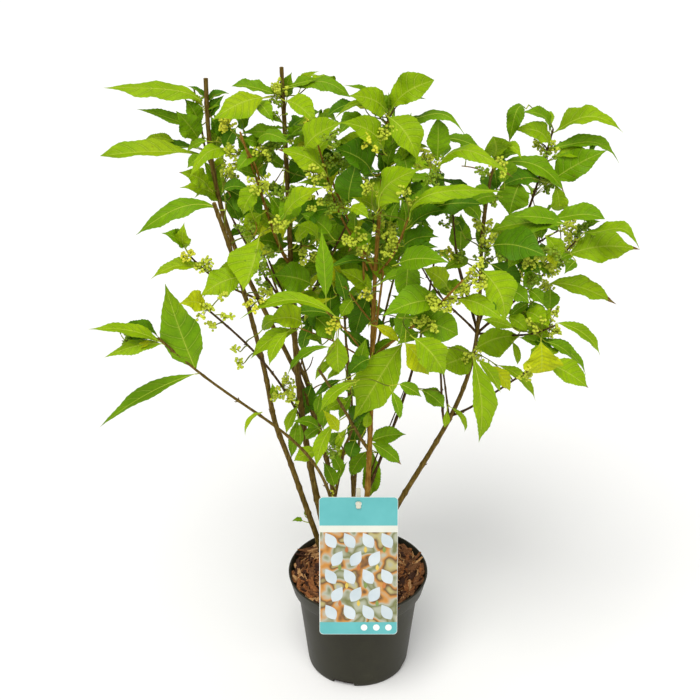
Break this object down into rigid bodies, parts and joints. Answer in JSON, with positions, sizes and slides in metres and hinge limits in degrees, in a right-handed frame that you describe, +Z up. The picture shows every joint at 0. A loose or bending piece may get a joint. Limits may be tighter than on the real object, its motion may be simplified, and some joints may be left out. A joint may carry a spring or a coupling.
{
  "type": "potted beautyberry shrub",
  "caption": "Leafy beautyberry shrub with slender upright stems spreading into an open wide crown, in a round black nursery pot with bark mulch and a care tag.",
  "frame": {"origin": "centre of the pot's flat underside", "axes": "+Z up, the shrub's front with the care tag faces -Y, +X is to the right when seen from the front"},
  "size_m": [0.648, 0.4743, 0.8567],
  "materials": {
    "pot_plastic": "satin",
    "bark_mulch": "matte",
    "tag_plastic": "satin",
    "stake_plastic": "satin",
    "stem_wood": "matte",
    "leaf": "satin"
  },
  "bodies": {
    "root": {"bough_back_centre": "stem_wood", "bough_back_left": "stem_wood", "bough_droop": "stem_wood", "bough_front_centre": "stem_wood", "bough_front_left": "stem_wood", "bough_front_right": "stem_wood", "bough_left": "stem_wood", "bough_low_side": "stem_wood", "care_tag": "tag_plastic", "leaves_back": "leaf", "leaves_back_left": "leaf", "leaves_back_low": "leaf", "leaves_back_right": "leaf", "leaves_centre": "leaf", "leaves_centre_right": "leaf", "leaves_crown": "leaf", "leaves_crown_right": "leaf", "leaves_droop": "leaf", "leaves_far_right": "leaf", "leaves_front": "leaf", "leaves_front_left": "leaf", "leaves_front_right": "leaf", "leaves_heart": "leaf", "leaves_inner": "leaf", "leaves_left": "leaf", "leaves_left_centre": "leaf", "leaves_left_shoulder": "leaf", "leaves_low_centre": "leaf", "leaves_low_inner": "leaf", "leaves_low_left": "leaf", "leaves_low_right": "leaf", "leaves_right": "leaf", "leaves_right_shoulder": "leaf", "leaves_top_left": "leaf", "leaves_top_right": "leaf", "leaves_upper_left": "leaf", "leaves_upper_right": "leaf", "pot": "pot_plastic", "root_ball": "bark_mulch", "stem_back": "stem_wood", "stem_back_left": "stem_wood", "stem_back_right": "stem_wood", "stem_centre": "stem_wood", "stem_cut_centre": "stem_wood", "stem_cut_left": "stem_wood", "stem_far_left": "stem_wood", "stem_low_left": "stem_wood", "stem_right": "stem_wood", "tag_stake": "stake_plastic"}
  },
  "joints": []
}
